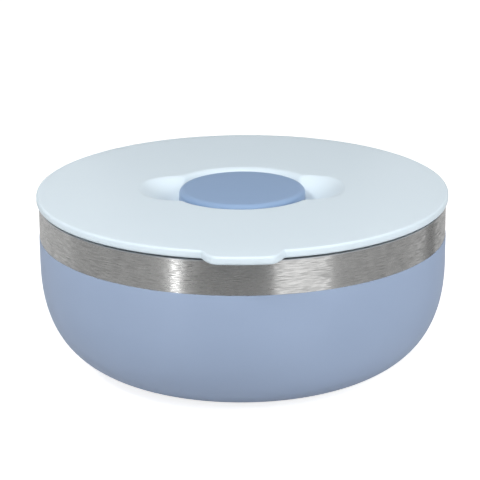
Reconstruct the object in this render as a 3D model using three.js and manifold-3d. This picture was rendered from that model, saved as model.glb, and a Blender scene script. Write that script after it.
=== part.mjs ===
// A double-walled salad bowl with a plug-in lid. The lid has a lift tab at the front and a round recess in
// the middle, with a finger scoop on either side, where a dressing pot with a screw cap drops in.
// Millimetres, +Z up. The origin is the middle of the base, on the table, and the tab faces -Y.
import * as THREE from 'three';
import { mergeVertices } from 'three/addons/utils/BufferGeometryUtils.js';
import Module from 'manifold-3d';

// Bowl
const bowlRadius = 100; // outer face of the straight wall
const bowlHeight = 81.6; // table to the top of the rim
const straightHeight = 26.9; // straight wall below the rim
const bandHeight = 16.4; // bare steel below the rim
const footRadius = 51.8; // where the wall's curve lands on the table
const curvePower = 2.53; // fullness of the wall's curve: 2 is an ellipse, more is squarer
const sheet = 0.6; // steel thickness of both walls
const wallGap = 4.5; // vacuum between the straight walls
const floorHeight = 9; // table to the inside floor
const floorRadius = 46; // flat part of the inside floor
const rimRound = 2.4; // rolled inside edge of the rim
const rimEdgeRound = 0.4; // broken outside edge of the rim
const coatThickness = 0.2;
const coatFilm = 0.02; // primer between the steel and the coat
const coatEndHeight = 0.5; // the coat stops this far above the table

// Base
const discRadius = 44;
const discThickness = 0.8;
const footStep = 1.2; // slope between the foot and the panel behind the disc
const dimpleRadius = 8; // hollow in the panel for the glass plug
const dimpleDepth = 2.2;
const dimpleSlope = 3;
const ventRadius = 1.5; // evacuation hole
const plugRadius = 4.5;
const plugThickness = 1.4;
const getterRadius = 6;
const getterHeight = 2.6;
const getterInset = 18; // from the edge of the base disc
const getterWall = 0.5;

// Lid
const lidOverhang = 1.1; // lid edge past the bowl wall
const lidEdge = 4; // height of the lid's edge
const lidStandoff = 0.6; // lid edge above the seat ring, which leaves a dark line round the bowl
const seatRingReach = 4; // how far the seat ring lies out over the rim
const edgeRound = 1.2;
const lidWall = 2.4;
const plugClearance = 1.2; // lid skirt to the inside wall
const skirtDepth = 10.4;
const skirtWall = 3.4;
const skirtChamfer = 0.8;
const grooveDrop = 3; // lid seat to the seal groove
const grooveHeight = 4.8;
const grooveDepth = 1.8;
const sealLipHeight = 1.4;
const sealLipThickness = 0.7;
const tabReach = 8; // tab tip past the lid edge
const tabRootHalf = 20.4;
const tabTipHalf = 11.2; // half of the tab's even front edge
const tabRootSweep = 1; // how far a shoulder of the tab runs on along the lid's edge
const tabTipSweep = 8.2; // and along the tab's front edge
const tabSeat = 6; // overlap of the tab with the lid rim that carries it

// Recess and finger scoops
const fingerGap = 1.2; // cap to the recess wall
const recessRound = 6; // rounded edge of the recess
const scoopCentre = 28; // middle of a scoop from the middle of the lid
const scoopHalfLength = 22.8;
const scoopHalfWidth = 23.4;
const scoopDepth = 10.6;
const scoopPlanPower = 2.5; // fullness of a scoop's plan: 2 is an ellipse, more is squarer
const scoopEdgePower = 1.6; // softness of a scoop's edge
const blendPower = 4; // a scoop runs softly into the recess

// Dressing pot and cap
const capRadius = 31;
const capHeight = 11.7;
const capRound = 5; // how far the rounded edge comes in over the cap's top
const capDrop = 2.4; // how far it comes down the cap's side
const capWall = 2.2;
const capRibDepth = 3; // ring under the cap that holds the gasket and plugs the pot
const capRibWall = 1.4;
const threadRoom = 1.3; // cap skirt to pot neck
const potWall = 1.8;
const potHeight = 36;
const potTaper = 1; // loss of radius from the pot's rim to its foot
const potRound = 3;
const potClearance = 0.5; // pot to the lid's well
const gasketThickness = 1.2;

const seatGap = 0.3; // clearance where one piece rests in another
const bigSides = 48;
const smallSides = 36;
const curveSteps = 7;
const cornerSteps = 2;
const flankSteps = 5;
const flankCrowding = 1.3; // draws the flank's points towards its upright wall
const edgeSearchSteps = 24;
const tabSteps = 8;

// Levels and radii that follow from the sizes above
const curveTop = bowlHeight - straightHeight;
const coatTop = bowlHeight - bandHeight;
const shellTop = bowlHeight - sheet;
const insideRadius = bowlRadius - 2 * sheet - wallGap;
const panelHeight = discThickness + seatGap;
const panelRadius = discRadius + seatGap;
const lidRadius = bowlRadius + lidOverhang;
const lidSeat = bowlHeight + seatGap;
const lidBottom = lidSeat + lidStandoff;
const lidTop = lidBottom + lidEdge;
const skirtRadius = insideRadius - plugClearance;
const grooveRadius = skirtRadius - grooveDepth;
const grooveTop = lidSeat - grooveDrop;
const grooveBottom = grooveTop - grooveHeight;
const recessRadius = capRadius + fingerGap;
const recessDepth = capHeight + seatGap;
const ledge = lidTop - recessDepth;
const capInside = capRadius - capWall;
const capCeiling = lidTop - capWall;
const potRadius = capInside - threadRoom;
const gasketTop = capCeiling - seatGap;
const potTop = gasketTop - gasketThickness - seatGap;
const potBottom = potTop - potHeight;
const wellFloor = potBottom - seatGap;

// Finishes
function finish(color, roughness, metalness) {
  return new THREE.MeshStandardMaterial({ color, roughness, metalness });
}

const brushedSteel = finish(0xb9bbbe, 0.32, 1);
const blueCoat = finish(0x95a6c8, 0.55, 0);
const palePlastic = finish(0xd2e0ea, 0.4, 0);
const bluePlastic = finish(0x8aa2be, 0.45, 0);
const clearPlastic = finish(0xdfe6ea, 0.3, 0);
const silicone = finish(0xe6e9ea, 0.7, 0);
const sealingGlass = finish(0x7d7466, 0.25, 0);

const point = (radius, height) => new THREE.Vector2(radius, height);

// Points of a corner's arc, from one angle to another, in degrees. Another rise makes it an ellipse.
function corner(radius, height, size, from, to, rise = size) {
  return Array.from({ length: cornerSteps + 1 }, (_, step) => {
    const angle = THREE.MathUtils.degToRad(from + ((to - from) * step) / cornerSteps);
    return point(radius + size * Math.cos(angle), height + rise * Math.sin(angle));
  });
}

// Points of a bowl's curve from its flat floor up to its straight wall.
function bowlCurve(flatRadius, wallRadius, bottom, top, angles) {
  const bend = 2 / curvePower;
  return angles.map((angle) => point(
    flatRadius + (wallRadius - flatRadius) * Math.cos(angle) ** bend,
    top - (top - bottom) * Math.sin(angle) ** bend,
  ));
}

// A round piece. Its outline runs outwards over the upper face and comes back under it, from the axis to
// the axis or from a point back to the same point. A lathe's faces point out when it is given the other
// way round.
function revolve(outline, sides) {
  const closed = outline[0].x > 0 ? [...outline, outline[0].clone()] : outline;
  return new THREE.LatheGeometry(closed.reverse(), sides).rotateX(Math.PI / 2);
}

const bowl = new THREE.Group();

function add(name, geometry, material) {
  const mesh = new THREE.Mesh(geometry, material);
  mesh.name = name;
  bowl.add(mesh);
  return mesh;
}

// Angles of the wall's curve, from the foot to the straight wall, with one where the coat stops.
const coatEndAngle = Math.asin((1 - coatEndHeight / curveTop) ** (curvePower / 2));
const coatAngles = Array.from(
  { length: curveSteps + 1 },
  (_, step) => coatEndAngle * (1 - step / curveSteps),
);
const shellAngles = [Math.PI / 2, ...coatAngles];

function innerBowl() {
  const outside = insideRadius + sheet;
  const underside = floorHeight - sheet;
  const rimCentre = insideRadius + rimRound;
  return revolve([
    point(0, floorHeight),
    ...bowlCurve(floorRadius, insideRadius, floorHeight, curveTop, shellAngles),
    ...corner(rimCentre, bowlHeight - rimRound, rimRound, 180, 90),
    point(bowlRadius - rimEdgeRound, bowlHeight),
    point(bowlRadius, bowlHeight - rimEdgeRound),
    point(bowlRadius, shellTop),
    ...corner(rimCentre, bowlHeight - rimRound, rimRound - sheet, 90, 180),
    ...bowlCurve(floorRadius, outside, underside, curveTop, shellAngles).reverse(),
    point(0, underside),
  ], bigSides);
}

// The bottom of the outer shell: a foot, a sunk panel for the disc, and a dimple round the vent.
function basePanel(lift) {
  return [
    point(ventRadius, panelHeight + dimpleDepth + lift),
    point(dimpleRadius - dimpleSlope, panelHeight + dimpleDepth + lift),
    point(dimpleRadius, panelHeight + lift),
    point(panelRadius, panelHeight + lift),
    point(panelRadius + footStep, lift),
  ];
}

function outerShell() {
  return revolve([
    ...basePanel(sheet),
    ...bowlCurve(footRadius, bowlRadius - sheet, sheet, curveTop, shellAngles),
    point(bowlRadius - sheet, shellTop),
    point(bowlRadius, shellTop),
    ...bowlCurve(footRadius, bowlRadius, 0, curveTop, shellAngles).reverse(),
    ...basePanel(0).reverse(),
  ], bigSides);
}

function powderCoat() {
  const back = bowlRadius + coatFilm;
  const face = back + coatThickness;
  return revolve([
    ...bowlCurve(footRadius, back, bowlRadius - back, curveTop, coatAngles),
    point(back, coatTop),
    point(face, coatTop),
    ...bowlCurve(footRadius, face, bowlRadius - face, curveTop, coatAngles).reverse(),
  ], bigSides);
}

function baseDisc() {
  return revolve([
    point(0, discThickness),
    point(discRadius, discThickness),
    point(discRadius, 0),
    point(0, 0),
  ], bigSides);
}

function vacuumPlug() {
  const seat = panelHeight + dimpleDepth;
  return revolve([
    point(0, seat),
    point(plugRadius, seat),
    ...corner(plugRadius - plugThickness, seat, plugThickness, 0, -90).slice(1),
    point(0, seat - plugThickness),
  ], smallSides);
}

function getterCup() {
  const seat = panelHeight + sheet;
  return revolve([
    point(0, seat + getterHeight - getterWall),
    point(getterRadius - getterWall, seat + getterHeight - getterWall),
    point(getterRadius - getterWall, seat + getterHeight),
    point(getterRadius, seat + getterHeight),
    point(getterRadius, seat),
    point(0, seat),
  ], smallSides);
}

// How far out a place lies in a scoop's plan: 0 is the scoop's middle and 1 is its edge. The place is given
// by its radius and its angle from the scoops' line. Grown by a wall, it gives the underside.
function scoopShare(radius, angle, grow) {
  const across = Math.abs(Math.abs(radius * Math.cos(angle)) - scoopCentre) / (scoopHalfLength + grow);
  const along = Math.abs(radius * Math.sin(angle)) / (scoopHalfWidth + grow);
  return (across ** scoopPlanPower + along ** scoopPlanPower) ** (1 / scoopPlanPower);
}

// How deep the recess and its scoops lie below the lid's top.
function recessFloor(radius, angle, grow) {
  const scoop = scoopDepth * Math.max(0, 1 - scoopShare(radius, angle, grow) ** 2) ** scoopEdgePower;
  const inwards = Math.max(0, recessRadius + recessRound + grow - radius);
  const edge = recessRound - Math.sqrt(Math.max(0, recessRound ** 2 - inwards ** 2));
  return (edge ** blendPower + scoop ** blendPower) ** (1 / blendPower);
}

// Where the recess, or the scoop cut into it, runs out into the lid's top, found by halving.
function recessEdge(angle, grow) {
  let inside = recessRadius + recessRound + grow;
  let outside = scoopCentre + scoopHalfLength + grow;
  for (let step = 0; step < edgeSearchSteps; step += 1) {
    const middle = (inside + outside) / 2;
    if (scoopShare(middle, angle, grow) < 1) {
      inside = middle;
    } else {
      outside = middle;
    }
  }
  return inside;
}

// A point of the recess's flank: share 0 is on its upright wall and 1 is on its edge.
function flankPoint(angle, share, grow) {
  const start = recessRadius + grow;
  const radius = start + (recessEdge(angle, grow) - start) * share;
  return point(radius, lidTop - grow - recessFloor(radius, angle, grow));
}

const flankShares = Array.from(
  { length: flankSteps + 1 },
  (_, step) => (step / flankSteps) ** flankCrowding,
);

// The lid's outline at one angle from the scoops' line.
function lidOutline(angle) {
  const wellRadius = potRadius + potClearance;
  const wellFoot = wellRadius - potTaper;
  const skirtBottom = lidSeat - skirtDepth;
  const skirtInside = skirtRadius - skirtWall;
  return [
    point(0, wellFloor),
    ...corner(wellFoot - potRound, wellFloor + potRound, potRound, -90, 0),
    point(wellRadius, ledge),
    point(recessRadius, ledge),
    ...flankShares.map((share) => flankPoint(angle, share, 0)),
    ...corner(lidRadius - edgeRound, lidTop - edgeRound, edgeRound, 90, 0),
    ...corner(lidRadius - edgeRound, lidBottom + edgeRound, edgeRound, 0, -90),
    point(insideRadius + seatRingReach, lidBottom),
    point(insideRadius + seatRingReach, lidSeat),
    point(skirtRadius, lidSeat),
    point(skirtRadius, grooveTop),
    point(grooveRadius, grooveTop),
    point(grooveRadius, grooveBottom),
    point(skirtRadius, grooveBottom),
    point(skirtRadius, skirtBottom + skirtChamfer),
    point(skirtRadius - skirtChamfer, skirtBottom),
    point(skirtInside, skirtBottom),
    point(skirtInside, lidTop - lidWall),
    ...flankShares.map((share) => flankPoint(angle, share, lidWall)).reverse(),
    point(recessRadius + lidWall, ledge - lidWall),
    point(wellRadius + lidWall, ledge - lidWall),
    ...corner(wellFoot - potRound, wellFloor + potRound, potRound + lidWall, 0, -90),
    point(0, wellFloor - lidWall),
  ].reverse();
}

// The lid's round body: a lathe whose outline is set again at each angle, because the scoops change it.
function lidBody() {
  const outline = lidOutline(0);
  const geometry = new THREE.LatheGeometry(outline, bigSides);
  const places = geometry.attributes.position;
  for (let vertex = 0; vertex < places.count; vertex += 1) {
    const turn = (Math.floor(vertex / outline.length) % bigSides) * ((2 * Math.PI) / bigSides);
    const { x: radius, y: height } = lidOutline(Math.PI / 2 - turn)[vertex % outline.length];
    places.setXYZ(vertex, radius * Math.sin(turn), height, radius * Math.cos(turn));
  }
  return geometry.rotateX(Math.PI / 2);
}

// The lift tab: an outline in plan with S-shaped shoulders, as thick and as rounded as the lid's edge.
function liftTab() {
  const onCircle = (radius, x) => new THREE.Vector2(x, -Math.sqrt(radius ** 2 - x ** 2));
  const alongCircle = (start, distance) => start.clone().add(
    new THREE.Vector2(start.y, -start.x).normalize().multiplyScalar(distance),
  );
  const tipRadius = lidRadius + tabReach;
  const rootRadius = lidRadius * Math.cos(Math.PI / bigSides);
  const leftRoot = onCircle(rootRadius, -tabRootHalf);
  const leftTip = onCircle(tipRadius, -tabTipHalf);
  const rightTip = onCircle(tipRadius, tabTipHalf);
  const rightRoot = onCircle(rootRadius, tabRootHalf);
  const shoulder = (outline, start, end, leaving, arriving) => {
    const leave = alongCircle(start, -leaving);
    const arrive = alongCircle(end, arriving);
    outline.bezierCurveTo(leave.x, leave.y, arrive.x, arrive.y, end.x, end.y);
  };
  const outline = new THREE.Shape();
  outline.moveTo(leftRoot.x, leftRoot.y + tabSeat);
  outline.lineTo(leftRoot.x, leftRoot.y);
  shoulder(outline, leftRoot, leftTip, tabRootSweep, tabTipSweep);
  outline.absarc(0, 0, tipRadius, leftTip.angle(), rightTip.angle(), false);
  shoulder(outline, rightTip, rightRoot, tabTipSweep, tabRootSweep);
  outline.lineTo(rightRoot.x, rightRoot.y + tabSeat);
  const tab = new THREE.ExtrudeGeometry(outline, {
    depth: lidEdge - 2 * edgeRound,
    bevelThickness: edgeRound,
    bevelSize: edgeRound,
    bevelOffset: -edgeRound,
    bevelSegments: cornerSteps,
    curveSegments: tabSteps,
  });
  return tab.translate(0, 0, lidBottom + edgeRound);
}

const wasm = await Module();
wasm.setup();

function solid(geometry) {
  const bare = geometry.clone();
  bare.deleteAttribute('normal');
  bare.deleteAttribute('uv');
  const merged = mergeVertices(bare);
  const corners = merged.index.array;
  const triangles = [];
  for (let first = 0; first < corners.length; first += 3) {
    const [a, b, c] = corners.subarray(first, first + 3);
    if (a !== b && b !== c && c !== a) {
      triangles.push(a, b, c);
    }
  }
  return new wasm.Manifold(new wasm.Mesh({
    numProp: 3,
    vertProperties: merged.attributes.position.array,
    triVerts: new Uint32Array(triangles),
  }));
}

function joined(first, second) {
  const { vertProperties, triVerts } = solid(first).add(solid(second)).getMesh();
  const geometry = new THREE.BufferGeometry();
  geometry.setAttribute('position', new THREE.BufferAttribute(vertProperties, 3));
  geometry.setIndex(new THREE.BufferAttribute(triVerts, 1));
  geometry.computeVertexNormals();
  return geometry;
}

// A silicone ring in the skirt's groove, with two lips that reach for the inside wall.
function lidSeal() {
  const inner = grooveRadius + seatGap;
  const outer = skirtRadius;
  const lipTip = insideRadius - seatGap;
  const top = grooveTop - seatGap;
  const bottom = grooveBottom + seatGap;
  const lip = (height) => [
    point(outer, height),
    point(lipTip, height - sealLipHeight + sealLipThickness),
    point(lipTip, height - sealLipHeight),
    point(outer, height - sealLipHeight),
  ];
  const spread = top - bottom - sealLipHeight;
  return revolve([
    point(inner, top),
    ...lip(top),
    ...lip(top - spread),
    point(inner, bottom),
  ], bigSides);
}

function dressingPot() {
  const foot = potRadius - potTaper;
  const centre = foot - potRound;
  return revolve([
    point(0, potBottom + potWall),
    ...corner(centre, potBottom + potRound, potRound - potWall, -90, 0),
    point(potRadius - potWall, potTop),
    point(potRadius, potTop),
    ...corner(centre, potBottom + potRound, potRound, 0, -90),
    point(0, potBottom),
  ], smallSides);
}

const ribOutside = potRadius - potWall - seatGap;

function potCap() {
  const capBottom = lidTop - capHeight;
  const ribBottom = capCeiling - capRibDepth;
  return revolve([
    point(0, lidTop),
    ...corner(capRadius - capRound, lidTop - capDrop, capRound, 90, 0, capDrop),
    point(capRadius, capBottom),
    point(capInside, capBottom),
    point(capInside, capCeiling),
    point(ribOutside, capCeiling),
    point(ribOutside, ribBottom),
    point(ribOutside - capRibWall, ribBottom),
    point(ribOutside - capRibWall, capCeiling),
    point(0, capCeiling),
  ], smallSides);
}

function potGasket() {
  const inner = ribOutside + seatGap;
  const outer = capInside - seatGap;
  return revolve([
    point(inner, gasketTop),
    point(outer, gasketTop),
    point(outer, gasketTop - gasketThickness),
    point(inner, gasketTop - gasketThickness),
  ], smallSides);
}

add('inner_bowl', innerBowl(), brushedSteel);
add('outer_shell', outerShell(), brushedSteel);
add('powder_coat', powderCoat(), blueCoat);
add('base_disc', baseDisc(), brushedSteel);
add('vacuum_plug', vacuumPlug(), sealingGlass);
add('getter', getterCup(), brushedSteel).position.x = discRadius - getterInset;
add('lid', joined(lidBody(), liftTab()), palePlastic);
add('lid_seal', lidSeal(), silicone);
add('dressing_pot', dressingPot(), clearPlastic);
add('pot_cap', potCap(), bluePlastic);
add('pot_gasket', potGasket(), silicone);

export default bowl;
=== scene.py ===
# %% [markdown]
# # A double-walled salad bowl
#
# The bowl is two drawn steel walls with a vacuum between them. A blue-grey coat covers the outside up
# to a bare brushed band, and a pale moulded lid plugs into the mouth. A dressing pot with a screw cap
# drops into the lid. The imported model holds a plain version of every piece, in metres. This lesson
# makes the fine ones around it.

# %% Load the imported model
import math

import bpy
from mathutils import Matrix, Vector


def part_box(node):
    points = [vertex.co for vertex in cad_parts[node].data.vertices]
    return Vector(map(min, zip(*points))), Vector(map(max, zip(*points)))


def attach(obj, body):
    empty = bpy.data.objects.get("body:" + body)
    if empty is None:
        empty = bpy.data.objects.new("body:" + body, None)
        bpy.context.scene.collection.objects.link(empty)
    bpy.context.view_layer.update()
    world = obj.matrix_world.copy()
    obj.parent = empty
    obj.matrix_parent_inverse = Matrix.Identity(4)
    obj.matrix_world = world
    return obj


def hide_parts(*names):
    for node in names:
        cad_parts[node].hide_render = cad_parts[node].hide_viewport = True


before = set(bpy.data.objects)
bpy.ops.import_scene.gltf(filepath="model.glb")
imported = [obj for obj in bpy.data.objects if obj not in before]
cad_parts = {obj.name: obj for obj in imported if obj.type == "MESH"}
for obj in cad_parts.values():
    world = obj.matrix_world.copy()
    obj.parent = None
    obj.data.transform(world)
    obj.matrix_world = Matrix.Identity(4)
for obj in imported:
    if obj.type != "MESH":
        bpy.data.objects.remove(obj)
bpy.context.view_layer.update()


# %% [markdown]
# ## Sizes
#
# The pieces fit into one another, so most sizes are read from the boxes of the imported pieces. A box
# can't tell a bend or a hidden wall, so those are written down as real sizes, each where it is first
# needed.

# %% Main sizes of the bowl
MM = 0.001

bowl_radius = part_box("outer_shell")[1].x
shell_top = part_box("outer_shell")[1].z
rim_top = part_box("inner_bowl")[1].z
seat_gap = 0.3 * MM
sheet = rim_top - shell_top
inside_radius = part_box("lid_seal")[1].x + seat_gap
straight_wall = 26.9 * MM
curve_top = rim_top - straight_wall
curve_power = 2.53
foot_radius = 51.8 * MM


def in_mm(*values):
    """Metres as rounded millimetres, to print."""
    return [round(value / MM, 2) for value in values]


print("bowl radius, height and sheet in mm:", in_mm(bowl_radius, rim_top, sheet))

# %% [markdown]
# ## Outlines
#
# Nearly every piece here is round, so it is drawn as half of its section and turned about the bowl's
# axis. An outline is a list of radius and height. It runs outwards over the upper face and comes back
# under it. Straight stretches need only their ends, bends are arcs, and the wall's full curve is a
# superellipse: an ellipse whose power is above 2, so that it fills its corner more.

# %% Arcs and the bowl's curve
def arc(radius, height, size, start, end, steps=8, rise=None):
    """Points round a centre, between two angles: 0 faces outwards, 90 up. A rise makes an ellipse."""
    rise = size if rise is None else rise
    turns = [math.radians(start + (end - start) * step / steps) for step in range(steps + 1)]
    return [(radius + size * math.cos(turn), height + rise * math.sin(turn)) for turn in turns]


def bowl_curve(flat, wall, bottom, top, end_height=0.0, steps=56):
    """Points of a wall's curve, from just above its flat floor up to its straight wall."""
    bend = 2 / curve_power
    first = math.asin((1 - end_height / (top - bottom)) ** (1 / bend))
    turns = [first * (1 - step / steps) for step in range(steps + 1)]
    return [
        (flat + (wall - flat) * math.cos(turn) ** bend, top - (top - bottom) * math.sin(turn) ** bend)
        for turn in turns
    ]


wall_curve = bowl_curve(foot_radius, bowl_radius, 0, curve_top)
print("wall curve from and to, in mm:", in_mm(*wall_curve[0]), in_mm(*wall_curve[-1]))

# %% [markdown]
# ## Node trees as expressions
#
# Both the shapes and the finishes below are node trees. Writing sums as nodes by hand hides the
# formula, so a small class wraps a socket and lets Python's own operators add the Math nodes. One
# method makes every other node: it sets the node's own settings first, because they can change which
# sockets it has, and then its sockets.

# %% A socket that takes part in sums
class Term:
    """The output socket of a node. Python's operators on it add Math nodes to its tree."""

    def __init__(self, tree, socket):
        self.tree = tree
        self.socket = socket

    def output(self, name):
        """Another output of the same node."""
        return Term(self.tree, self.socket.node.outputs[name])

    def __add__(self, other):
        return self.tree.math("ADD", self, other)

    def __radd__(self, other):
        return self.tree.math("ADD", other, self)

    def __sub__(self, other):
        return self.tree.math("SUBTRACT", self, other)

    def __rsub__(self, other):
        return self.tree.math("SUBTRACT", other, self)

    def __mul__(self, other):
        return self.tree.math("MULTIPLY", self, other)

    def __rmul__(self, other):
        return self.tree.math("MULTIPLY", other, self)

    def __truediv__(self, other):
        return self.tree.math("DIVIDE", self, other)

    def __rtruediv__(self, other):
        return self.tree.math("DIVIDE", other, self)

    def __pow__(self, other):
        return self.tree.math("POWER", self, other)

    def __rpow__(self, other):
        return self.tree.math("POWER", other, self)

    def __mod__(self, other):
        return self.tree.math("MODULO", self, other)

    def __rmod__(self, other):
        return self.tree.math("MODULO", other, self)

    def __gt__(self, other):
        return self.tree.math("GREATER_THAN", self, other)

    def __lt__(self, other):
        return self.tree.math("LESS_THAN", self, other)


print("operators that add Math nodes: + - * / ** % > <")

# %% A tree that adds nodes
class Tree:
    """The nodes of a material, a world or a shape, with one method that makes any node."""

    def __init__(self, owner):
        self.nodes = owner.nodes
        self.links = owner.links

    def add(self, kind, settings=None, sockets=None, output=0):
        """Make a node, set its settings and then its sockets, and return one of its outputs."""
        node = self.nodes.new(kind)
        for name, value in (settings or {}).items():
            setattr(node, name, value)
        for name, value in (sockets or {}).items():
            if isinstance(value, Term):
                self.links.new(value.socket, node.inputs[name])
            else:
                node.inputs[name].default_value = value
        return Term(self, node.outputs[output]) if node.outputs else node

    def math(self, operation, *values):
        """A Math node on terms and numbers."""
        return self.add("ShaderNodeMath", {"operation": operation}, dict(enumerate(values)))

    def vector(self, x, y, z):
        """Three terms or numbers as one vector."""
        return self.add("ShaderNodeCombineXYZ", {}, {"X": x, "Y": y, "Z": z})


print("node helpers ready")

# %% [markdown]
# ## Turned pieces
#
# A lathe, a press or a round mould gives a piece the same section all the way round. The Screw modifier
# could turn an outline as well. A Geometry Nodes tree is used instead, because the lid needs the same
# grid with a section that changes as it goes round: a flat grid has one row for each outline point and
# one column for each side, and every grid point is then moved to its radius, height and turn. Merging
# closes the seam and the poles.

# %% Helpers for Geometry Nodes trees
sharp_degrees = 32


def shape_tree(name, inputs):
    """An empty Geometry Nodes tree with named inputs. Returns the group, its tree and its inputs."""
    group = bpy.data.node_groups.new(name, "GeometryNodeTree")
    group.interface.new_socket("Shape", in_out="OUTPUT", socket_type="NodeSocketGeometry")
    for label, kind in inputs.items():
        group.interface.new_socket(label, in_out="INPUT", socket_type="NodeSocket" + kind)
    tree = Tree(group)
    first = tree.add("NodeGroupInput")
    return group, tree, {label: first.output(label) for label in inputs}


def end_tree(tree, shape, finish):
    """Close a tree: realize what it placed, set the finish and hand the shape over."""
    real = tree.add("GeometryNodeRealizeInstances", {}, {"Geometry": shape})
    dressed = tree.add("GeometryNodeSetMaterial", {}, {"Geometry": real, "Material": finish})
    tree.add("NodeGroupOutput", {}, {"Shape": dressed})


def shaded(tree, mesh):
    """Smooth shading that stops at sharp edges."""
    smooth = tree.add("GeometryNodeSetShadeSmooth", {"domain": "FACE"}, {"Geometry": mesh})
    bend = tree.add("GeometryNodeInputMeshEdgeAngle")
    return tree.add(
        "GeometryNodeSetShadeSmooth",
        {"domain": "EDGE"},
        {"Geometry": smooth, "Selection": bend > math.radians(sharp_degrees), "Shade Smooth": False},
    )


print("edges over", sharp_degrees, "degrees stay sharp")

# %% The grid that is turned about the axis
merge_distance = 0.001 * MM


def turned_grid(tree, outline, sides):
    """A grid for an outline turned in so many sides. Returns the grid, its row number and its turn."""
    rows = tree.add(
        "GeometryNodeAttributeDomainSize", {"component": "MESH"}, {"Geometry": outline}, "Point Count"
    )
    grid = tree.add("GeometryNodeMeshGrid", {}, {"Vertices X": sides + 1, "Vertices Y": rows})
    outwards = tree.add("GeometryNodeFlipFaces", {}, {"Mesh": grid})
    number = tree.add("GeometryNodeInputIndex")
    column = tree.math("FLOOR", number / rows)
    return outwards, number % rows, column * (math.tau / sides)


def outline_value(tree, outline, row, name):
    """A value that the outline's points carry, read at a row of the grid."""
    value = tree.add("GeometryNodeInputNamedAttribute", {"data_type": "FLOAT"}, {"Name": name})
    return tree.add(
        "GeometryNodeSampleIndex",
        {"data_type": "FLOAT", "domain": "POINT"},
        {"Geometry": outline, "Value": value, "Index": row},
    )


def bent_round(tree, grid, radius, height, turn):
    """Move the grid's points round the axis, starting at the front, and close the seam and the poles."""
    spot = tree.vector(radius * tree.math("SINE", turn), radius * tree.math("COSINE", turn) * -1, height)
    moved = tree.add("GeometryNodeSetPosition", {}, {"Geometry": grid, "Position": spot})
    closed = tree.add("GeometryNodeMergeByDistance", {}, {"Geometry": moved, "Distance": merge_distance})
    return shaded(tree, closed)


print(f"grid points closer than {merge_distance / MM:g} mm are merged")

# %% The tree for turned pieces
def turned_piece_tree():
    """A tree that turns its outline about the axis without changing it."""
    group, tree, given = shape_tree(
        "turned piece", {"Outline": "Geometry", "Sides": "Int", "Finish": "Material"}
    )
    grid, row, turn = turned_grid(tree, given["Outline"], given["Sides"])
    radius = outline_value(tree, given["Outline"], row, "radius")
    height = outline_value(tree, given["Outline"], row, "height")
    end_tree(tree, bent_round(tree, grid, radius, height, turn), given["Finish"])
    return group


turned_piece = turned_piece_tree()
print("turned piece tree:", len(turned_piece.nodes), "nodes")

# %% [markdown]
# ## From a tree to a finished piece
#
# A modifier runs the tree on a small mesh that holds the outline. The evaluated result is copied to a
# plain mesh, so the finished piece has no modifier left, sits at the origin and carries its place in
# its points. Each piece then rides on the body that it belongs to, and stands in for the plain piece
# that it replaces.

# %% Make a piece from an outline or an empty start
def run_tree(name, start, group, inputs):
    """Run a tree on a start mesh with the given inputs and return the result as a new object."""
    draft = bpy.data.objects.new(name + "_draft", start)
    bpy.context.scene.collection.objects.link(draft)
    modifier = draft.modifiers.new("shape", "NODES")
    modifier.node_group = group
    identifiers = {
        item.name: item.identifier for item in group.interface.items_tree if item.in_out == "INPUT"
    }
    for label, value in inputs.items():
        modifier[identifiers[label]] = value
    evaluated = draft.evaluated_get(bpy.context.evaluated_depsgraph_get())
    mesh = bpy.data.meshes.new_from_object(evaluated)
    draft.modifiers.remove(modifier)
    bpy.data.objects.remove(draft)
    bpy.data.meshes.remove(start)
    mesh.name = name
    piece = bpy.data.objects.new(name, mesh)
    bpy.context.scene.collection.objects.link(piece)
    return piece


def outline_mesh(name, points, **extra):
    """A mesh whose points carry an outline's radius and height, and any further values."""
    mesh = bpy.data.meshes.new(name + "_outline")
    mesh.from_pydata([(radius, 0, height) for radius, height in points], [], [])
    radii, heights = zip(*points)
    for label, values in {"radius": radii, "height": heights, **extra}.items():
        mesh.attributes.new(label, "FLOAT", "POINT").data.foreach_set("value", values)
    return mesh


print("shape helpers ready")

# %% Place a piece on its body
def place(piece, body, slot, *nodes):
    """Let a piece ride on a body and hide the plain pieces that it stands for. Its slot is not used."""
    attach(piece, body)
    if nodes:
        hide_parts(*nodes)
    piece.data.calc_loop_triangles()
    print(f"{piece.name}: {len(piece.data.loop_triangles)} triangles on {body}")


def turned(name, points, sides, finish, body, slot, *nodes):
    """Make and place a turned piece. An outline that starts off the axis is a ring, so it is closed."""
    ring = points[0][0] > 0
    outline = outline_mesh(name, points + points[:1] if ring else points)
    piece = run_tree(name, outline, turned_piece, {"Sides": sides, "Finish": finish})
    place(piece, body, slot, *nodes)


print("piece helpers ready")

# %% [markdown]
# ## Finishes
#
# Every finish is a Principled shader with its constants set on its own sockets. What varies over the
# surface, such as brush lines or the grain of a coat, comes from noise on Object coordinates, so it
# stays with the piece. A painted picture could show the same, but it would need a flat layout of every
# piece.

# %% Helpers for finishes
noise_middle = 0.5
colour_low, colour_high, colour_result = 6, 7, 2  # the Mix node's sockets for colours


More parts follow.
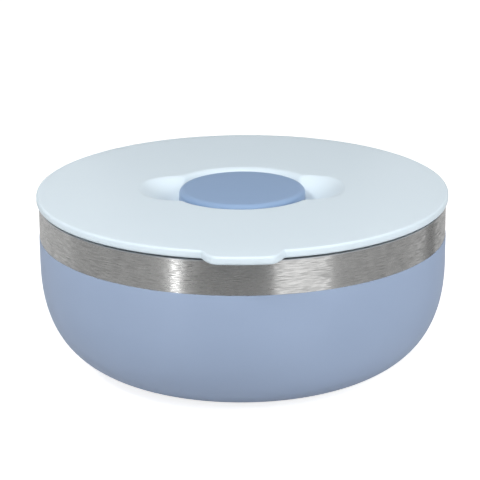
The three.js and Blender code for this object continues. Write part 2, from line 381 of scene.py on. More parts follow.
class Finish(Tree):
    """A material with one Principled shader."""

    def __init__(self, name, sockets=None):
        self.material = bpy.data.materials.new(name)
        self.material.use_nodes = True
        super().__init__(self.material.node_tree)
        self.nodes.clear()
        shader = self.add("ShaderNodeBsdfPrincipled", {}, sockets)
        self.shader = shader.socket.node
        self.add("ShaderNodeOutputMaterial", {}, {"Surface": shader})

    def feed(self, name, term):
        """Feed one of the shader's sockets with something that varies."""
        self.links.new(term.socket, self.shader.inputs[name])

    def spot(self):
        """The point's place on the piece, in metres."""
        return self.add("ShaderNodeTexCoord", {}, {}, "Object")

    def noise(self, vector, scale, detail=2.0, roughness=0.5):
        """A noise around its middle, with a scale in patches for each unit of the vector."""
        return self.add(
            "ShaderNodeTexNoise",
            {"normalize": True},
            {"Vector": vector, "Scale": scale, "Detail": detail, "Roughness": roughness},
        )

    def colour(self, factor, low, high):
        """A colour between two colours."""
        return self.add(
            "ShaderNodeMix",
            {"data_type": "RGBA", "clamp_factor": True},
            {"Factor": factor, colour_low: (*low, 1), colour_high: (*high, 1)},
            colour_result,
        )

    def bump(self, height, strength, depth):
        """Fine relief whose full height is the given depth in metres."""
        relief = {"Height": height, "Strength": strength, "Distance": depth}
        self.feed("Normal", self.add("ShaderNodeBump", {}, relief))


print("finish helpers ready")

# %% [markdown]
# ### Brushed steel
#
# The band is brushed while the bowl spins, so its lines run round the wall. They are long and very
# thin: noise that is stretched round the axis and squeezed along the section gives them. The lines
# differ a little in colour and much more in gloss, and the lighter ones are also the smoother ones.
# They spread a reflection at right angles to themselves, which is what anisotropy does in the shader. A
# turn of a quarter points it up the wall.

# %% Steel brushed round the axis
quarter_turn = 0.25
patch_squeeze = 0.08
line_share = 0.8
tone_gain = 3


def brushed_steel(name, colour, contrast, roughness, swing, line_width, line_length, anisotropy, relief):
    """Steel with brush lines round the axis and broader patches of lines among them."""
    brushing = {"Anisotropic": anisotropy, "Anisotropic Rotation": quarter_turn}
    finish = Finish(name, {"Metallic": 1.0, **brushing})
    axes = finish.add("ShaderNodeSeparateXYZ", {}, {"Vector": finish.spot()})
    x, y, z = (axes.output(axis) for axis in "XYZ")
    along_section = z + finish.math("SQRT", x * x + y * y)
    around = 1 / line_length
    across = 1 / line_width

    def streaks(squeeze):
        return finish.noise(finish.vector(x * around, y * around, along_section * squeeze), 1.0)

    lines = streaks(across)
    tone = line_share * lines + (1 - line_share) * streaks(patch_squeeze * across)
    low = [(1 - contrast) * value for value in colour]
    high = [(1 + contrast) * value for value in colour]
    shade = (tone - noise_middle) * tone_gain + noise_middle
    finish.feed("Base Color", finish.colour(shade, low, high))
    finish.feed("Roughness", roughness - swing * (lines - noise_middle))
    finish.bump(lines, 1.0, relief)
    return finish.material


print("brush lines make", line_share, "of the steel's tone, broad patches the rest")

# %% Steel of the band, the inside and the getter
band_steel = brushed_steel(
    "brushed steel",
    (0.57, 0.57, 0.565),
    contrast=0.2,
    roughness=0.35,
    swing=1.3,
    line_width=0.3 * MM,
    line_length=5 * MM,
    anisotropy=0.85,
    relief=0.012 * MM,
)
spun_steel = brushed_steel(
    "spun steel",
    (0.56, 0.57, 0.58),
    contrast=0.15,
    roughness=0.34,
    swing=0.15,
    line_width=0.7 * MM,
    line_length=60 * MM,
    anisotropy=0.7,
    relief=0.005 * MM,
)
getter_steel = brushed_steel(
    "pressed steel",
    (0.45, 0.45, 0.46),
    contrast=0.15,
    roughness=0.42,
    swing=0.15,
    line_width=0.9 * MM,
    line_length=8 * MM,
    anisotropy=0.4,
    relief=0.005 * MM,
)
print("steel finishes:", ", ".join(steel.name for steel in (band_steel, spun_steel, getter_steel)))

# %% [markdown]
# ### Powder coat
#
# Powder is sprayed on and melts into a satin film with a very fine, soft unevenness. It is painted
# steel, so it has no metal look of its own: a blue-grey colour, a broad sheen and a grain of about half
# a millimetre. One even colour would look flat, so the grain and some broad clouds vary it a little.

# %% Satin powder coat
def satin(
    name, low, high, roughness, grain_scale, relief,
    grain_detail=2.0, grain_share=0.35, cloud_scale=25, swing=0.12, strength=0.25,
):
    """A satin surface: grain and clouds vary its colour, and the grain its gloss and its relief.

    The grain's scale is in patches to a metre, and the relief is its full depth in metres."""
    finish = Finish(name)
    grain = finish.noise(finish.spot(), grain_scale, grain_detail)
    clouds = finish.noise(finish.spot(), cloud_scale)
    shade = grain_share * grain + (1 - grain_share) * clouds
    finish.feed("Base Color", finish.colour(shade, low, high))
    finish.feed("Roughness", roughness + swing * (grain - noise_middle))
    finish.bump(grain, strength, relief)
    return finish.material


blue_coat = satin(
    "blue powder coat", (0.293, 0.374, 0.528), (0.323, 0.41, 0.566), 0.46, 1800, 0.03 * MM,
    grain_detail=3.0, grain_share=0.5, cloud_scale=30, swing=0.16, strength=0.3,
)
print("coat finish:", blue_coat.name)

# %% [markdown]
# ### Moulded plastics
#
# The lid and the cap come from a spark-eroded mould, which leaves a faint even texture and a satin
# sheen. The pot is the same plastic without pigment. The seals are silicone: softer, duller and a
# little milky. All of them differ from the coat only in numbers, so they use the same function.

# %% Satin plastics, silicone and sealing glass
pale_plastic = satin(
    "pale lid plastic", (0.675, 0.78, 0.85), (0.697, 0.80, 0.867), 0.34, 2600, 0.015 * MM
)
blue_plastic = satin(
    "blue cap plastic", (0.233, 0.348, 0.533), (0.254, 0.369, 0.559), 0.40, 2600, 0.015 * MM
)
clear_plastic = satin(
    "natural pot plastic", (0.68, 0.74, 0.77), (0.72, 0.78, 0.81), 0.34, 2200, 0.012 * MM
)
milky_silicone = satin(
    "milky silicone", (0.72, 0.75, 0.76), (0.78, 0.81, 0.82), 0.62, 1500, 0.03 * MM
)
sealing_glass = satin(
    "sealing glass", (0.16, 0.135, 0.10), (0.22, 0.19, 0.145), 0.22, 700, 0.04 * MM
)
moulded = (pale_plastic, blue_plastic, clear_plastic, milky_silicone, sealing_glass)
print("moulded finishes:", ", ".join(finish.name for finish in moulded))

# %% [markdown]
# ## The bowl's walls
#
# The inner wall is drawn from one disc and its rim is rolled out over the outer wall, which is drawn
# from another. Between them is the vacuum. A Solidify modifier could give a bare curve its thickness.
# Here each outline holds both faces of the sheet, because the rim, the foot and the vent need shapes of
# their own.

# %% Inner wall
wall_sides = 256
floor_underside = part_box("inner_bowl")[0].z
floor_top = floor_underside + sheet
inside_flat = 46 * MM
rim_round = 2.4 * MM
rim_edge = 0.4 * MM
rim_centre = inside_radius + rim_round
inner_wall = [
    (0, floor_top),
    *bowl_curve(inside_flat, inside_radius, floor_top, curve_top),
    *arc(rim_centre, rim_top - rim_round, rim_round, 180, 90, 12),
    *arc(bowl_radius - rim_edge, rim_top - rim_edge, rim_edge, 90, 0, 5),
    (bowl_radius, shell_top),
    *arc(rim_centre, rim_top - rim_round, rim_round - sheet, 90, 180, 12),
    *reversed(bowl_curve(inside_flat, inside_radius + sheet, floor_underside, curve_top)),
    (0, floor_underside),
]
turned("bowl_inner_wall", inner_wall, wall_sides, spun_steel, "bowl", "inner_steel", "inner_bowl")

# %% Outer wall
disc_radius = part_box("base_disc")[1].x
disc_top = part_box("base_disc")[1].z
panel_height = disc_top + seat_gap
panel_radius = disc_radius + seat_gap
foot_step = 1.2 * MM
dimple_radius = 8 * MM
dimple_slope = 3 * MM
dimple_depth = 2.2 * MM
vent_radius = 1.5 * MM


def base_panel(lift):
    """The bottom of the outer wall, from the vent to the foot."""
    return [
        (vent_radius, panel_height + dimple_depth + lift),
        (dimple_radius - dimple_slope, panel_height + dimple_depth + lift),
        (dimple_radius, panel_height + lift),
        (panel_radius, panel_height + lift),
        (panel_radius + foot_step, lift),
    ]


outer_wall = [
    *base_panel(sheet),
    *bowl_curve(foot_radius, bowl_radius - sheet, sheet, curve_top),
    (bowl_radius - sheet, shell_top),
    (bowl_radius, shell_top),
    *reversed(wall_curve),
    *reversed(base_panel(0)),
]
turned("bowl_outer_wall", outer_wall, wall_sides, band_steel, "bowl", "outer_steel", "outer_shell")

# %% [markdown]
# ## Coat, base cover and what closes the vacuum
#
# The coat could be a mask in the wall's finish. It is a thin skin of its own, so that its upper edge is
# a real step on the band. A flat disc covers the vent under the bowl. The glass plug in the vent and
# the getter between the walls are simple shapes, so the plain ones stay and only get a finish.

# %% Coat
coat_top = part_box("powder_coat")[1].z
coat_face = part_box("powder_coat")[1].x
coat_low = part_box("powder_coat")[0].z
coat_thickness = 0.2 * MM
coat_back = coat_face - coat_thickness
coat_edge = 0.12 * MM


def coat_curve(face):
    """One face of the coat, from where it stops above the table to the straight wall."""
    bottom = bowl_radius - face
    return bowl_curve(foot_radius, face, bottom, curve_top, coat_low - bottom)


coat = [
    *coat_curve(coat_back),
    (coat_back, coat_top),
    *arc(coat_face - coat_edge, coat_top - coat_edge, coat_edge, 90, 0, 4),
    *reversed(coat_curve(coat_face)),
]
turned("wall_coat", coat, wall_sides, blue_coat, "bowl", "powder_coat", "powder_coat")

# %% Base cover, plug and getter
flat_sides = 128
disc_chamfer = 0.25 * MM
base_cover = [
    (0, disc_top),
    *arc(disc_radius - disc_chamfer, disc_top - disc_chamfer, disc_chamfer, 90, 0, 3),
    *arc(disc_radius - disc_chamfer, disc_chamfer, disc_chamfer, 0, -90, 3),
    (0, 0),
]
turned("base_cover", base_cover, flat_sides, spun_steel, "bowl", "base_steel", "base_disc")

for name, finish in {"vacuum_plug": sealing_glass, "getter": getter_steel}.items():
    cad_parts[name].material_slots[0].material = finish
print("the plug and the getter keep their plain shapes")

# %% [markdown]
# ## The lid
#
# The lid is one moulding: a round recess for the cap with a finger scoop on either side, a well for the
# pot, a plug skirt with a groove for its seal, and a lift tab at the front. It could be cut out of a
# turned plate with booleans, but then the scoops would meet the recess in hard edges. Here it is turned
# like the rest, and its section changes on the way round. Each outline point also carries where it lies
# on the recess's flank, and how far it follows the tab. The tree turns those into a radius and a height
# at every angle. A scoop is a dish over a superellipse, and it runs softly into the recess's rounded
# edge.

# %% Sizes of the lid's plate and tab
lid_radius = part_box("lid")[1].x
lid_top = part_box("lid")[1].z
lid_seat = rim_top + seat_gap
seat_ring = 0.6 * MM
lid_bottom = lid_seat + seat_ring
lid_wall = 2.4 * MM
edge_round = 1.2 * MM
tab_reach = -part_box("lid")[0].y - lid_radius
tab_inset = 7 * MM
tab_root_half = 18.8 * MM
tab_tip_half = 9.6 * MM
tab_root_power = 1.3
tab_tip_power = 3
print("lid radius and tab reach in mm:", in_mm(lid_radius, tab_reach))

# %% Sizes of the recess and the scoops
cap_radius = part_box("pot_cap")[1].x
cap_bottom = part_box("pot_cap")[0].z
cap_gap = 1.2 * MM
recess_radius = cap_radius + cap_gap
recess_round = 6 * MM
recess_depth = lid_top - cap_bottom + seat_gap
ledge = lid_top - recess_depth
ledge_round = 0.3 * MM
scoop_centre = 28 * MM
scoop_half_length = 22.8 * MM
scoop_half_width = 22 * MM
scoop_depth = 10.6 * MM
scoop_plan_power = 2.5
scoop_edge_power = 1.6
scoop_inner_angle = math.radians(20)
scoop_outer_angle = math.radians(48)
blend_power = 4
print("recess radius and depth in mm:", in_mm(recess_radius, recess_depth))

# %% Sizes of the well and the plug skirt
pot_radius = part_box("dressing_pot")[1].x
well_gap = 0.5 * MM
well_radius = pot_radius + well_gap
well_taper = 1 * MM
well_round = 3 * MM
well_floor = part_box("lid")[0].z + lid_wall
well_centre = well_radius - well_taper - well_round
skirt_gap = 1.2 * MM
skirt_radius = inside_radius - skirt_gap
skirt_wall = 3.4 * MM
skirt_inside = skirt_radius - skirt_wall
skirt_depth = 10.4 * MM
skirt_bottom = lid_seat - skirt_depth
skirt_round = 0.8 * MM
seat_width = 4 * MM
seat_radius = inside_radius + seat_width
groove_depth = 1.8 * MM
groove_radius = skirt_radius - groove_depth
groove_drop = 3 * MM
groove_top = lid_seat - groove_drop
groove_height = 4.8 * MM
groove_bottom = groove_top - groove_height
print("well, skirt and groove radius in mm:", in_mm(well_radius, skirt_radius, groove_radius))

# %% Stretches of the lid's outline
recess = [
    (0, well_floor),
    *arc(well_centre, well_floor + well_round, well_round, -90, 0),
    *arc(well_radius + ledge_round, ledge - ledge_round, ledge_round, 180, 90, 5),
    (recess_radius - ledge_round, ledge),
    *arc(recess_radius - ledge_round, ledge + ledge_round, ledge_round, -90, 0, 6)[1:],
]
edge = [
    *arc(lid_radius - edge_round, lid_top - edge_round, edge_round, 90, 0, 10),
    *arc(lid_radius - edge_round, lid_bottom + edge_round, edge_round, 0, -90, 10),
]
skirt = [
    (seat_radius, lid_bottom),
    (seat_radius, lid_seat),
    (skirt_radius, lid_seat),
    (skirt_radius, groove_top),
    (groove_radius, groove_top),
    (groove_radius, groove_bottom),
    (skirt_radius, groove_bottom),
    *arc(skirt_radius - skirt_round, skirt_bottom + skirt_round, skirt_round, 0, -90, 5),
    (skirt_inside, skirt_bottom),
    (skirt_inside, lid_top - lid_wall),
]
well_outside = [
    (recess_radius + lid_wall, ledge - lid_wall),
    (well_radius + lid_wall, ledge - lid_wall),
    *arc(well_centre, well_floor + well_round, well_round + lid_wall, 0, -90),
    (0, well_floor - lid_wall),
]
print("points in each stretch:", [len(run) for run in (recess, edge, skirt, well_outside)])

# %% The lid's outline with its flank shares, its wall and its share of the tab
off_flank = -1.0
flank_steps = 40
flank_crowding = 0.9
flank_overrun = [1.03, 1.08]


def plain_rows(points, reach=0.0):
    """Rows that keep their place, apart from a share of the tab's pull."""
    return [(radius, height, off_flank, 0.0, reach) for radius, height in points]


def flank_rows(wall):
    """Rows of the recess's flank, going outwards, on the upper face or a wall's thickness below it."""
    shares = [(step / flank_steps) ** flank_crowding for step in range(flank_steps + 1)] + flank_overrun
    start = recess_radius + wall
    return [(start + recess_round * share, lid_top - wall, share, wall, 0.0) for share in shares]


lid_rows = [
    *plain_rows(recess),
    *flank_rows(0.0),
    *plain_rows([(lid_radius - tab_inset, lid_top)]),
    *plain_rows(edge, reach=1.0),
    *plain_rows(skirt),
    *reversed(flank_rows(lid_wall)),
    *plain_rows(well_outside),
]
print("lid outline:", len(lid_rows), "points")

# %% The scoops' formula
def ramp(tree, value, zero, one, kind="LINEAR"):
    """0 up to one number and 1 from another on, with a straight or smooth way between them."""
    return tree.add(
        "ShaderNodeMapRange",
        {"interpolation_type": kind},
        {"Value": value, "From Min": zero, "From Max": one, "To Min": 0.0, "To Max": 1.0},
    )


def scooped_flank(tree, given, turn, share, wall):
    """Radius and height of the recess's flank, with a scoop blended into its round on either side."""
    from_scoop = tree.math("ARCCOSINE", tree.math("ABSOLUTE", tree.math("SINE", turn)))
    opened = ramp(tree, from_scoop, scoop_outer_angle, scoop_inner_angle, "SMOOTHSTEP")
    start = wall + recess_radius
    plain_edge = start + recess_round
    scoop_edge = wall + given["Scoop Length"] + scoop_centre
    radius = start + (plain_edge + (scoop_edge - plain_edge) * opened - start) * share
    across = tree.math("ABSOLUTE", radius * tree.math("COSINE", from_scoop) - scoop_centre)
    along = radius * tree.math("SINE", from_scoop)
    plan = (across / (given["Scoop Length"] + wall)) ** scoop_plan_power
    plan = plan + (along / (given["Scoop Width"] + wall)) ** scoop_plan_power
    dish = tree.math("MAXIMUM", 1 - plan ** (2 / scoop_plan_power), 0)
    scoop = dish**scoop_edge_power * given["Scoop Depth"]
    inwards = tree.math("MINIMUM", tree.math("MAXIMUM", (plain_edge - radius) / recess_round, 0), 1)
    rounded = recess_round * (1 - tree.math("SQRT", 1 - inwards * inwards))
    deep = (scoop / recess_round) ** blend_power + (rounded / recess_round) ** blend_power
    return radius, lid_top - wall - recess_round * deep ** (1 / blend_power)


print("half a scoop's length and width in mm:", in_mm(scoop_half_length, scoop_half_width))

# %% The tab's formula and the tree for the lid
def tab_pull(tree, given, turn, reach):
    """How far the edge is drawn out to the tab, with hollow shoulders and a rounded front."""
    side = tree.math("ABSOLUTE", tree.math("SINE", turn)) * lid_radius
    share = ramp(tree, side, tab_root_half, tab_tip_half)
    rise = 1 - (1 - share**tab_root_power) ** tab_tip_power
    return reach * given["Tab Reach"] * rise * (tree.math("COSINE", turn) > 0)


def lid_tree():
    """A turned grid, with columns crowded to the front, whose flank and edge follow the formulas."""
    numbers = ("Crowding", "Scoop Length", "Scoop Width", "Scoop Depth", "Tab Reach")
    inputs = {"Outline": "Geometry", "Sides": "Int", "Finish": "Material"}
    inputs |= dict.fromkeys(numbers, "Float")
    group, tree, given = shape_tree("lid with scoops and tab", inputs)
    outline = given["Outline"]
    grid, row, even_turn = turned_grid(tree, outline, given["Sides"])
    turn = even_turn - given["Crowding"] * tree.math("SINE", even_turn)
    radius, height, share, wall, reach = (
        outline_value(tree, outline, row, name) for name in ("radius", "height", "share", "wall", "reach")
    )
    flank_radius, flank_height = scooped_flank(tree, given, turn, share, wall)
    on_flank = share > off_flank / 2
    new_radius = radius + on_flank * (flank_radius - radius) + tab_pull(tree, given, turn, reach)
    new_height = height + on_flank * (flank_height - height)
    end_tree(tree, bent_round(tree, grid, new_radius, new_height, turn), given["Finish"])
    return group


lid_shape = lid_tree()
print("lid tree:", len(lid_shape.nodes), "nodes")

# %% Make the lid
lid_sides = 360
front_crowding = 0.55
radii, heights, shares, walls, reaches = zip(*lid_rows)
lid_start = outline_mesh("lid", list(zip(radii, heights)), share=shares, wall=walls, reach=reaches)
lid_inputs = {
    "Sides": lid_sides,
    "Crowding": front_crowding,
    "Scoop Length": scoop_half_length,
    "Scoop Width": scoop_half_width,
    "Scoop Depth": scoop_depth,
    "Tab Reach": tab_reach,
    "Finish": pale_plastic,
}
place(run_tree("lid_moulding", lid_start, lid_shape, lid_inputs), "lid", "lid_plastic", "lid")

# %% [markdown]
# ## The lid's seal
#
# A silicone ring sits in the skirt's groove. Two thin lips slope down and outwards to the wall, so the
# lid slips in easily and holds by friction. A circle with a bevel could carry the same section. Turning
# it like the other pieces keeps the lips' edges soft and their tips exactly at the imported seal's radius.

# %% Seal ring with two lips
seal_low, seal_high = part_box("lid_seal")
seal_back = groove_radius + seat_gap
lip_drop = 1.4 * MM
lip_tip = 0.35 * MM
lip_slope = 65


def seal_lip(height):
    """One lip, from its root over its rounded tip and back."""
    tip = height - lip_drop + lip_tip
    return [
        (skirt_radius, height),
        *arc(seal_high.x - lip_tip, tip, lip_tip, lip_slope, -90, 6),
        (skirt_radius, height - lip_drop),
    ]


lower_lip = seal_low.z + lip_drop
seal_ring = [
    (seal_back, seal_high.z),
    *seal_lip(seal_high.z),
    *seal_lip(lower_lip),
    (seal_back, seal_low.z),
]
turned("lid_lip_ring", seal_ring, wall_sides, milky_silicone, "lid", "silicone", "lid_seal")

# %% [markdown]
# ## The dressing pot, its cap and its gasket
#
# The pot is a thin cup with a little taper, so that it leaves its mould and the lid's well. The cap
# covers its neck, and a ring under the cap holds the gasket and plugs the mouth. A Bevel modifier could
# round the corners. Arcs in the outlines do it here, so each corner keeps the size that its mould would
# have.

# %% Pot
pot_low, pot_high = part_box("dressing_pot")
pot_sides = 192
pot_wall = 1.8 * MM
pot_foot = pot_radius - well_taper
pot_round = 3 * MM
lip_round = 0.5 * MM
pot_centre = pot_foot - pot_round
pot_outline = [
    (0, pot_low.z + pot_wall),
    *arc(pot_centre, pot_low.z + pot_round, pot_round - pot_wall, -90, 0),
    *arc(pot_radius - pot_wall + lip_round, pot_high.z - lip_round, lip_round, 180, 90, 4),
    *arc(pot_radius - lip_round, pot_high.z - lip_round, lip_round, 90, 0, 4),
    *arc(pot_centre, pot_low.z + pot_round, pot_round, 0, -90),
    (0, pot_low.z),
]
turned("pot_moulding", pot_outline, pot_sides, clear_plastic, "pot", "pot_plastic", "dressing_pot")

# %% Cap
cap_sides = 224
cap_round = 3.2 * MM
cap_drop = 2.4 * MM
cap_wall = 2.2 * MM
cap_lip = 0.5 * MM
cap_inside = cap_radius - cap_wall
cap_ceiling = lid_top - cap_wall
rib_outside = pot_radius - pot_wall - seat_gap
rib_wall = 1.4 * MM
rib_depth = 3 * MM
rib_round = 0.4 * MM
rib_bottom = cap_ceiling - rib_depth
rib_inside = rib_outside - rib_wall
cap_outline = [
    (0, lid_top),
    *arc(cap_radius - cap_round, lid_top - cap_drop, cap_round, 90, 0, 16, cap_drop),
    *arc(cap_radius - cap_lip, cap_bottom + cap_lip, cap_lip, 0, -90, 4),
    *arc(cap_inside + cap_lip, cap_bottom + cap_lip, cap_lip, -90, -180, 4),
    (cap_inside, cap_ceiling),
    (rib_outside, cap_ceiling),
    *arc(rib_outside - rib_round, rib_bottom + rib_round, rib_round, 0, -90, 4),
    *arc(rib_inside + rib_round, rib_bottom + rib_round, rib_round, -90, -180, 4),
    (rib_inside, cap_ceiling),
    (0, cap_ceiling),
]
turned("cap_moulding", cap_outline, cap_sides, blue_plastic, "cap", "cap_plastic", "pot_cap")

# %% Gasket
gasket_low, gasket_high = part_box("pot_gasket")
gasket_round = 0.25 * MM
gasket_inner = rib_outside + seat_gap + gasket_round
gasket_outer = gasket_high.x - gasket_round
gasket_ring = [
    *arc(gasket_inner, gasket_high.z - gasket_round, gasket_round, 180, 90, 3),
    *arc(gasket_outer, gasket_high.z - gasket_round, gasket_round, 90, 0, 3),
    *arc(gasket_outer, gasket_low.z + gasket_round, gasket_round, 0, -90, 3),
    *arc(gasket_inner, gasket_low.z + gasket_round, gasket_round, -90, -180, 3),
]
turned("cap_gasket", gasket_ring, flat_sides, milky_silicone, "gasket", "silicone", "pot_gasket")

# %% [markdown]
# ## The cap's thread
#
# The plain model leaves the thread out. It is a ridge that climbs 4 mm in a turn round the neck, and a
# matching one inside the cap, half a pitch away. A ridge that follows a helix is work for Geometry
# Nodes: a spiral curve carries a small round section, and the curve's radius runs out to nearly nothing
# at both ends, as a moulded thread does.

# %% The tree for a thread
helix_steps = 96
ridge_sides = 10
end_share = 0.06
end_size = 0.02


def thread_tree():
    """A tree that carries a round section along a helix and tapers it at both ends."""
    numbers = ("Helix Radius", "Lead", "Turns", "Bottom", "Ridge")
    inputs = dict.fromkeys(numbers, "Float") | {"Finish": "Material"}
    group, tree, given = shape_tree("thread ridge", inputs)
    helix = tree.add(
        "GeometryNodeCurveSpiral",
        {},
        {
            "Resolution": helix_steps,
            "Rotations": given["Turns"],
            "Start Radius": given["Helix Radius"],
            "End Radius": given["Helix Radius"],
            "Height": given["Lead"] * given["Turns"],
        },
    )
    rise = tree.vector(0, 0, given["Bottom"])
    lifted = tree.add("GeometryNodeTransform", {}, {"Geometry": helix, "Translation": rise})
    along = tree.add("GeometryNodeSplineParameter")
    near_end = tree.math("MINIMUM", along, 1 - along) / end_share
    taper = tree.math("MINIMUM", near_end + end_size, 1)
    tapered = tree.add("GeometryNodeSetCurveRadius", {}, {"Curve": lifted, "Radius": taper})
    circle = {"Resolution": ridge_sides, "Radius": given["Ridge"]}
    section = tree.add("GeometryNodeCurvePrimitiveCircle", {"mode": "RADIUS"}, circle)
    swept = {"Curve": tapered, "Profile Curve": section, "Fill Caps": True}
    end_tree(tree, shaded(tree, tree.add("GeometryNodeCurveToMesh", {}, swept)), given["Finish"])
    return group


thread = thread_tree()
print("thread tree:", len(thread.nodes), "nodes")

# %% Threads on the neck and in the cap
thread_lead = 4 * MM
thread_turns = 1.2
thread_ridge = 0.8 * MM
thread_start = 1.1 * MM
neck_bottom = cap_bottom + thread_start
threads = {
    "neck_thread": (pot_radius, neck_bottom, clear_plastic, "pot", "pot_plastic"),
    "cap_thread": (cap_inside, neck_bottom + thread_lead / 2, blue_plastic, "cap", "cap_plastic"),
}
for name, (helix_radius, bottom, finish, body, slot) in threads.items():
    inputs = {
        "Helix Radius": helix_radius,
        "Lead": thread_lead,
        "Turns": thread_turns,
        "Bottom": bottom,
        "Ridge": thread_ridge,
        "Finish": finish,
    }
    place(run_tree(name, bpy.data.meshes.new(name + "_start"), thread, inputs), body, slot)

# %% [markdown]
# ## Floor, surround and light
#
# The bowl stands on a plain white floor under soft studio light. The world fills in from all round,
# softboxes in front, on either side and above light the lid and the wall, and a small one from the
# front left gives the cap its shadow in the recess. All but the top one are hidden from gloss, so the
# steel shows cards and not lamps. The world is white to the camera, in gloss and through glass. So is
# the floor, but only partly in gloss, and the light that both spread stays at a plain level.

# %% Stage helpers
white = (1, 1, 1, 1)


def empty_tree(owner):
    """The node tree of a material or a world, with nothing in it."""
    owner.use_nodes = True
    owner.node_tree.nodes.clear()
    return Tree(owner.node_tree)


def stage_mesh(name, points, faces, material):
    """A mesh of the studio, which isn't part of the bowl."""
    mesh = bpy.data.meshes.new(name)
    mesh.from_pydata(points, [], faces)
    mesh.materials.append(material)
    item = bpy.data.objects.new(name, mesh)
    bpy.context.scene.collection.objects.link(item)
    return item


def seen_directly(tree, gloss_share):
    """1 for rays from the camera and through glass, a share for gloss, and 0 for light that spreads."""
    path = tree.add("ShaderNodeLightPath")
    straight = tree.math("MAXIMUM", path.output("Is Camera Ray"), path.output("Is Transmission Ray"))
    return tree.math("MAXIMUM", straight, path.output("Is Glossy Ray") * gloss_share)


print("stage helpers ready")

# %% White floor that keeps the shadow
floor_half = 4.0
floor_colour = (0.62, 0.62, 0.62, 1)
floor_glow = 0.8
floor_gloss_share = 0.25
one_face = [(0, 1, 2, 3)]


def floor_material():
    """Pale paper, with a glow on top that only direct rays see."""
    material = bpy.data.materials.new("studio floor")
    tree = empty_tree(material)
    paper = tree.add("ShaderNodeBsdfDiffuse", {}, {"Color": floor_colour})
    glow = tree.add("ShaderNodeEmission", {}, {"Strength": floor_glow})
    lit = tree.add("ShaderNodeAddShader", {}, {0: paper, 1: glow})
    share = seen_directly(tree, floor_gloss_share)
    seen = tree.add("ShaderNodeMixShader", {}, {"Fac": share, 1: paper, 2: lit})
    tree.add("ShaderNodeOutputMaterial", {}, {"Surface": seen})
    return material


floor_corners = [
    (-floor_half, -floor_half, 0),
    (floor_half, -floor_half, 0),
    (floor_half, floor_half, 0),
    (-floor_half, floor_half, 0),
]
stage_mesh("studio_floor", floor_corners, one_face, floor_material())
print("floor:", 2 * floor_half, "m across")

# %% World and colour view
world_level = 0.19
world_gloss_share = 1.0


def studio_world():
    """A white world whose spreading light stays at a plain level."""
    world = bpy.data.worlds.new("studio")
    tree = empty_tree(world)
    fill = tree.add("ShaderNodeBackground", {}, {"Color": white, "Strength": world_level})
    bright = tree.add("ShaderNodeBackground", {}, {"Color": white, "Strength": 1.0})
    share = seen_directly(tree, world_gloss_share)
    both = tree.add("ShaderNodeMixShader", {}, {"Fac": share, 1: fill, 2: bright})
    tree.add("ShaderNodeOutputWorld", {}, {"Surface": both})
    return world


bpy.context.scene.world = studio_world()
bpy.context.scene.view_settings.view_transform = "Standard"
print("world:", bpy.context.scene.world.name)

# %% Lamps, each by its bearing, elevation, size, power and whether gloss sees it
lamp_distance = 1.3
bowl_middle = Vector((0, 0, 0.06))
lamps = {
    "key_softbox": (-56, 48, 0.2, 6.2, False),
    "front_softbox": (0, 40, 0.6, 3.9, False),
    "left_softbox": (-50, 21, 0.8, 2.8, False),
    "right_softbox": (62, 24, 0.8, 8.8, False),
    "top_softbox": (0, 80, 0.9, 2.4, True),
}


def from_bearing(bearing, elevation, distance):
    """A place round the bowl: degrees from the front to the right, degrees up, and metres away."""
    turn, rise = math.radians(bearing), math.radians(elevation)
    level = distance * math.cos(rise)
    return Vector((level * math.sin(turn), -level * math.cos(turn), distance * math.sin(rise)))


def softbox(name, spot, size, watts, in_gloss):
    """A square soft lamp that looks at the bowl's middle."""
    lamp = bpy.data.lights.new(name, "AREA")
    lamp.shape = "SQUARE"
    lamp.size = size
    lamp.energy = watts
    item = bpy.data.objects.new(name, lamp)
    item.location = spot
    item.visible_glossy = in_gloss
    item.rotation_euler = (bowl_middle - spot).to_track_quat("-Z", "Y").to_euler()
    bpy.context.scene.collection.objects.link(item)


for name, (bearing, elevation, size, watts, in_gloss) in lamps.items():
    softbox(name, from_bearing(bearing, elevation, lamp_distance), size, watts, in_gloss)
print("lamps:", ", ".join(lamps))

# %% [markdown]
# ## Camera
#
# The picture is a product shot from a little above the rim with a long lens. The camera looks along +Y
# and a little down, and its focal length is given in pixels of the 480 pixel frame, which a 36 mm
# sensor turns into millimetres. A constraint could aim it, but a fixed place needs only one matrix.

# %% Camera at the photograph's angle
frame_pixels = 480
focal_pixels = 2014.6
sensor_width = 36
camera_distance = 1.0
camera_elevation = math.radians(17.9)
camera_roll = -0.0077
camera_target = Vector((-1.28 * MM, 0, 59.28 * MM))
clip_near = 0.01
clip_far = 20

lens = bpy.data.cameras.new("camera")
lens.sensor_width = sensor_width
lens.lens = sensor_width * focal_pixels / frame_pixels
lens.clip_start = clip_near
lens.clip_end = clip_far
camera = bpy.data.objects.new("camera", lens)
offset = Vector((0, -math.cos(camera_elevation), math.sin(camera_elevation))) * camera_distance
camera.matrix_world = (
    Matrix.Translation(camera_target + offset)
    @ Matrix.Rotation(math.pi / 2 - camera_elevation, 4, "X")
    @ Matrix.Rotation(camera_roll, 4, "Z")
)
bpy.context.scene.collection.objects.link(camera)
bpy.context.scene.camera = camera
print(f"lens: {lens.lens:.1f} mm")

# %% [markdown]
# ## Cards for the steel
#
# Brushed steel shows whatever stands round it, so a studio puts white, grey and dark cards there. Here
# they lie in a low ring that rises away from the bowl, and only gloss sees them: they neither light the
# bowl nor throw a shadow. A card is given by the stretch of the wall that mirrors it, as bearings from
# the front towards the right. Its edges run off in the direction in which the camera's view is mirrored
# there, so the stretch has upright edges. One more card stands upright behind the bowl, for the sheen
# on top of the lid.

# %% Helpers for cards
card_near = 0.03
card_far = 0.7
card_foot = 1 * MM
card_rise = 0.5


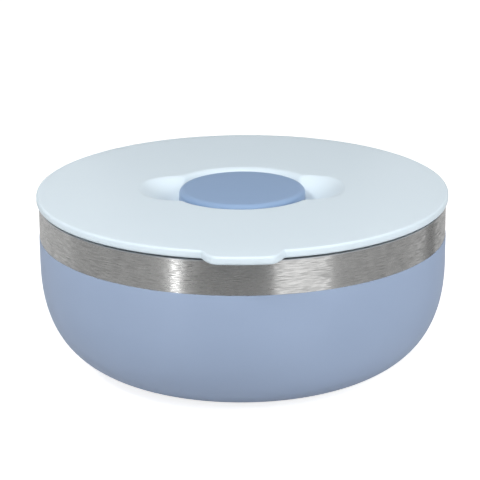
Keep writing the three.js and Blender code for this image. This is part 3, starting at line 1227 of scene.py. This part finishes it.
def card_edge(degrees):
    """The near and the far end of a card's edge, for a bearing on the wall."""
    bearing = math.radians(degrees)
    wall = Vector((bowl_radius * math.sin(bearing), -bowl_radius * math.cos(bearing), 0))
    view = camera.location - wall
    mirrored = 2 * bearing - math.atan2(view.x, -view.y)
    away = Vector((math.sin(mirrored), -math.cos(mirrored), 0))
    near = wall + away * card_near + Vector((0, 0, card_foot))
    far = wall + away * card_far + Vector((0, 0, card_rise))
    return near, far


def card(name, points, faces, level):
    """A card with one even glow, seen only in gloss."""
    material = bpy.data.materials.new(name)
    tree = empty_tree(material)
    glow = tree.add("ShaderNodeEmission", {}, {"Strength": level})
    tree.add("ShaderNodeOutputMaterial", {}, {"Surface": glow})
    item = stage_mesh(name, points, faces, material)
    for ray in ("camera", "diffuse", "shadow", "transmission", "volume_scatter"):
        setattr(item, "visible_" + ray, False)


print("cards reach", card_far, "m away from the wall")

# %% Cards that the band mirrors, each by its first and last bearing and its level
card_steps = 8
cards = {
    "left_wall_card": (-90, -52, 0.62),
    "left_grey_card": (-52, -18.7, 0.445),
    "narrow_white_card": (-18.7, -16.7, 3.3),
    "dark_card": (-16.7, 8.2, 0.29),
    "wide_white_card": (8.2, 23.5, 1.12),
    "right_grey_card": (23.5, 51, 0.45),
    "right_pale_card": (51, 59.5, 0.58),
    "dark_strip": (59.5, 65.5, 0.18),
    "right_wall_card": (65.5, 90, 0.58),
}
for name, (first, last, level) in cards.items():
    bearings = [first + (last - first) * step / card_steps for step in range(card_steps + 1)]
    points = [point for bearing in bearings for point in card_edge(bearing)]
    faces = [(2 * step, 2 * step + 1, 2 * step + 3, 2 * step + 2) for step in range(card_steps)]
    card(name, points, faces, level)
print("cards round the bowl:", len(cards))

# %% Card behind the bowl
back_card_half = 0.7
back_card_place = 0.8
back_card_low = 0.05
back_card_high = 0.8
back_card_level = 0.35
back_card_corners = [
    (-back_card_half, back_card_place, back_card_low),
    (back_card_half, back_card_place, back_card_low),
    (back_card_half, back_card_place, back_card_high),
    (-back_card_half, back_card_place, back_card_high),
]
card("back_card", back_card_corners, one_face, back_card_level)
print("back card:", 2 * back_card_half, "m wide")
